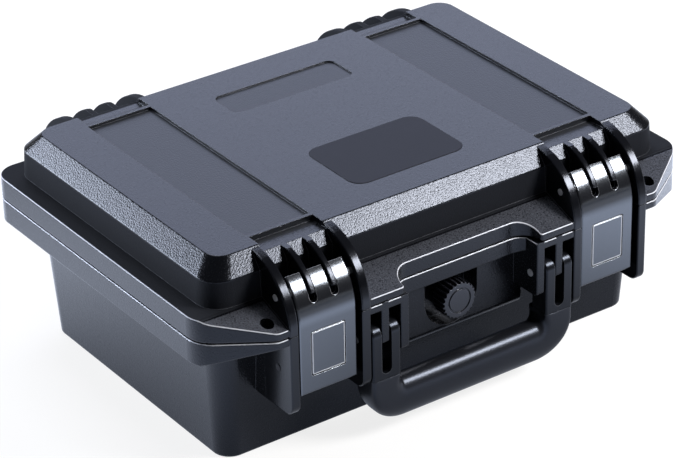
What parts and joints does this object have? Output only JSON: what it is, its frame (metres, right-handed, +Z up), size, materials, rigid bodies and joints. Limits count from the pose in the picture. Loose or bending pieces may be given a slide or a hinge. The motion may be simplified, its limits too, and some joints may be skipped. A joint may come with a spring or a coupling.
{
  "type": "hard case",
  "caption": "Black moulded hard case with a sealed hinged lid, press-and-pull latches, a folding carry handle and a pressure valve.",
  "frame": {"origin": "middle of the flat face that the case rests on", "axes": "+X to the right as seen from the handle side, +Y to the hinges, +Z up through the lid"},
  "size_m": [0.3, 0.233, 0.1171],
  "materials": {
    "shell_plastic": "satin moulded",
    "latch_plastic": "gloss moulded",
    "handle_plastic": "satin moulded",
    "grip_rubber": "soft matte",
    "valve_plastic": "satin moulded",
    "seal_rubber": "matte",
    "label_film": "bare satin plate",
    "steel": "ground",
    "spring_steel": "blue-grey strip"
  },
  "bodies": {
    "base": {"base_shell": "shell_plastic", "hinge_pin_left": "steel", "hinge_pin_right": "steel", "catch_pin_left": "steel", "catch_pin_right": "steel", "handle_pin_left": "steel", "handle_pin_right": "steel", "valve_bush": "valve_plastic", "valve_seal": "seal_rubber", "valve_washer": "steel", "valve_nut": "valve_plastic"},
    "lid": {"lid_shell": "shell_plastic", "lid_seal": "seal_rubber", "label_plate": "label_film", "latch_pin_left": "steel", "latch_pin_right": "steel"},
    "handle": {"handle_frame": "handle_plastic", "handle_grip": "grip_rubber"},
    "valve_knob": {"valve_knob": "valve_plastic"},
    "latch_left": {"latch_lever_left": "latch_plastic", "latch_back_cover_left": "latch_plastic", "latch_spring_left": "spring_steel"},
    "button_left": {"latch_button_left": "latch_plastic"},
    "latch_right": {"latch_lever_right": "latch_plastic", "latch_back_cover_right": "latch_plastic", "latch_spring_right": "spring_steel"},
    "button_right": {"latch_button_right": "latch_plastic"}
  },
  "joints": [
    {"name": "lid_hinge", "type": "hinge", "parent": "base", "child": "lid", "pos_m": [0, 0.1085, 0.0811], "axis": [-1, 0, 0], "range_deg": [0, 105]},
    {"name": "handle_pivot", "type": "hinge", "parent": "base", "child": "handle", "pos_m": [0, -0.1102, 0.0622], "axis": [-1, 0, 0], "range_deg": [0, 90]},
    {"name": "valve_turn", "type": "hinge", "parent": "base", "child": "valve_knob", "pos_m": [0, -0.1, 0.057], "axis": [0, -1, 0], "range_deg": [0, 360]},
    {"name": "latch_left_pivot", "type": "hinge", "parent": "lid", "child": "latch_left", "pos_m": [-0.08725, -0.1043, 0.0982], "axis": [-1, 0, 0], "range_deg": [0, 80]},
    {"name": "button_left_press", "type": "slide", "parent": "latch_left", "child": "button_left", "axis": [0, 1, 0], "range_m": [0, 0.0015], "stiffness_N_per_m": 400, "deforming": ["latch_spring_left"]},
    {"name": "latch_right_pivot", "type": "hinge", "parent": "lid", "child": "latch_right", "pos_m": [0.08725, -0.1043, 0.0982], "axis": [-1, 0, 0], "range_deg": [0, 80]},
    {"name": "button_right_press", "type": "slide", "parent": "latch_right", "child": "button_right", "axis": [0, 1, 0], "range_m": [0, 0.0015], "stiffness_N_per_m": 400, "deforming": ["latch_spring_right"]}
  ]
}
